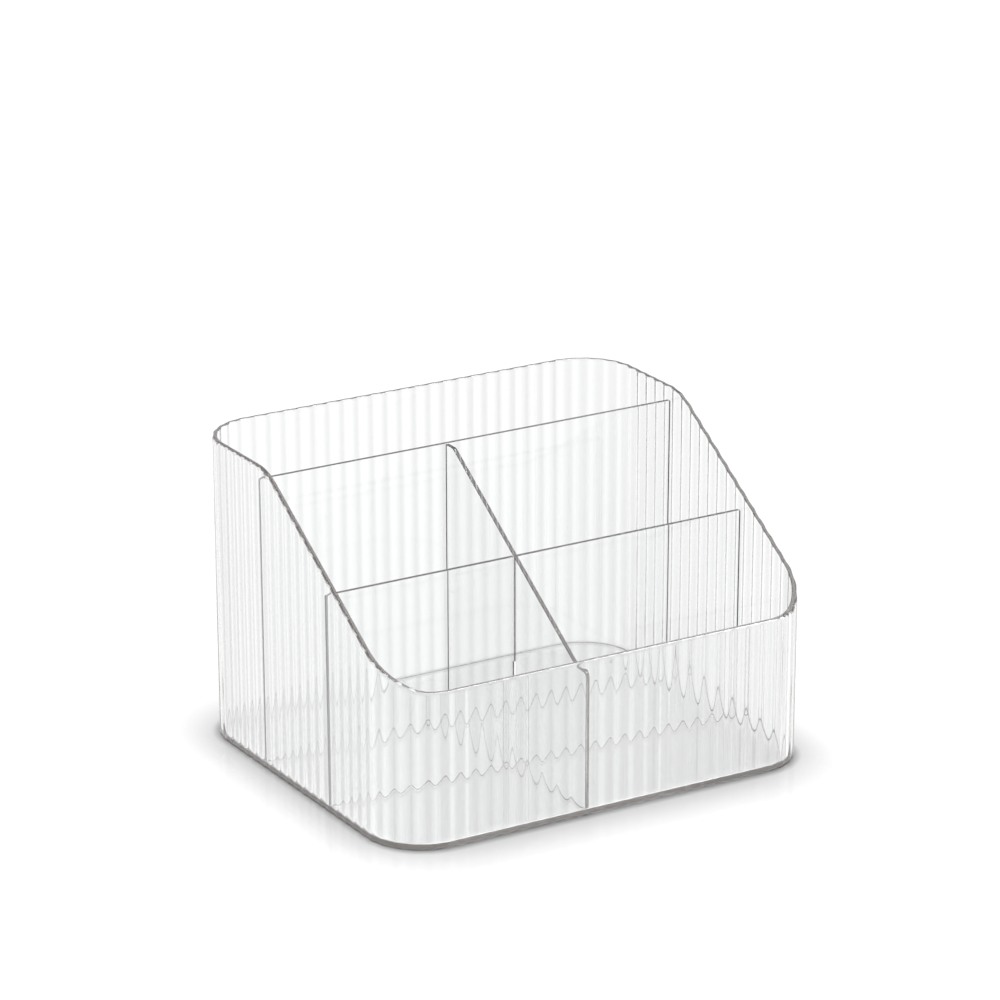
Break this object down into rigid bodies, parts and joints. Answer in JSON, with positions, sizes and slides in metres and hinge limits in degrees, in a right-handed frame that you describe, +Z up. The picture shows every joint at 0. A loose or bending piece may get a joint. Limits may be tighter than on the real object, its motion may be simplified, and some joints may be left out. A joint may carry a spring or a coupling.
{
  "type": "compartment organizer",
  "caption": "Clear fluted plastic desktop organizer, open at the top, high at the back with a sloping rim, divided into a full-width back row and side-by-side sections in front.",
  "frame": {"origin": "centre of the tray's plan, on the underside it rests on", "axes": "+X to the right along the front, +Y from the low front to the high back, +Z up"},
  "size_m": [0.18, 0.1528, 0.118],
  "materials": {
    "tray_plastic": "clear, polished, fluted outside",
    "divider_plastic": "clear, polished"
  },
  "bodies": {
    "root": {"tray_body": "tray_plastic", "back_divider": "divider_plastic", "front_divider": "divider_plastic", "centre_divider": "divider_plastic"}
  },
  "joints": []
}
